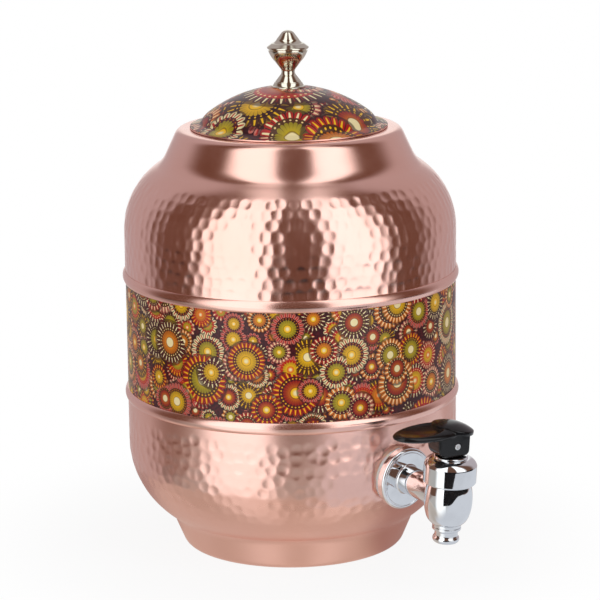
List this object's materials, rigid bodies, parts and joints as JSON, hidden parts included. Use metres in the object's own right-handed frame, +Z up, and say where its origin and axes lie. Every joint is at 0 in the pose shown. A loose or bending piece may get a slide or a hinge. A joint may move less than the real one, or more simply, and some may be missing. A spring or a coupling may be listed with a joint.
{
  "type": "copper water dispenser",
  "caption": "Free-standing spun copper water dispenser with a hammered wall, a printed band, a domed lift-off lid with a turned knob, and a lever tap that swivels.",
  "frame": {"origin": "centre of the foot's flat underside, where the vessel stands", "axes": "+Z up along the vessel's axis, -Y towards the tap, +X to the right as seen when facing the tap"},
  "size_m": [0.2036, 0.2618, 0.3143],
  "materials": {
    "copper": "satin lacquered copper, hammered on the walls",
    "print": "glossy printed floral pattern on sheet metal",
    "chrome": "bright chrome plate",
    "nickel": "polished pale nickel plate on brass",
    "lever_plastic": "glossy black moulded plastic",
    "silicone": "translucent silicone rubber",
    "steel": "plain stainless steel"
  },
  "bodies": {
    "vessel": {"shoulder_shell": "copper", "barrel_shell": "copper", "printed_band": "print", "belly_shell": "copper", "upper_bead": "copper", "lower_bead": "copper", "tap_body": "chrome", "spout_tip": "chrome", "outer_washer": "silicone", "inner_washer": "silicone", "tail_nut": "steel", "bonnet": "chrome", "bonnet_gasket": "silicone", "stem_oring": "silicone", "spring_washer": "steel", "return_spring": "steel"},
    "lid": {"lid_dome": "print", "lid_collar": "copper", "finial": "nickel", "finial_stud": "steel", "finial_washer": "steel", "finial_nut": "steel"},
    "seal": {"seat_seal": "silicone"},
    "stem": {"valve_stem": "chrome", "lever_pin": "chrome"},
    "lever": {"lever": "lever_plastic"}
  },
  "joints": [
    {"name": "lid_lift", "type": "slide", "parent": "vessel", "child": "lid", "axis": [0, 0, 1], "range_m": [0, 0.12]},
    {"name": "stem_lift", "type": "slide", "parent": "vessel", "child": "seal", "axis": [0, -0.0872, 0.9962], "range_m": [0, 0.00209], "stiffness_N_per_m": 250, "springref_m": -0.005, "deforming": ["return_spring"]},
    {"name": "lever_swivel", "type": "hinge", "parent": "seal", "child": "stem", "pos_m": [0, -0.14283, 0.05695], "axis": [0, -0.0872, 0.9962], "continuous": true},
    {"name": "lever_tilt", "type": "hinge", "parent": "stem", "child": "lever", "pos_m": [0, -0.1457, 0.08972], "axis": [-0.0993, -0.9913, -0.0867], "range_deg": [0, 20]}
  ],
  "couplings": [
    {"joint": "lever_tilt", "follows": "stem_lift", "rad_per_m": 166.67}
  ]
}
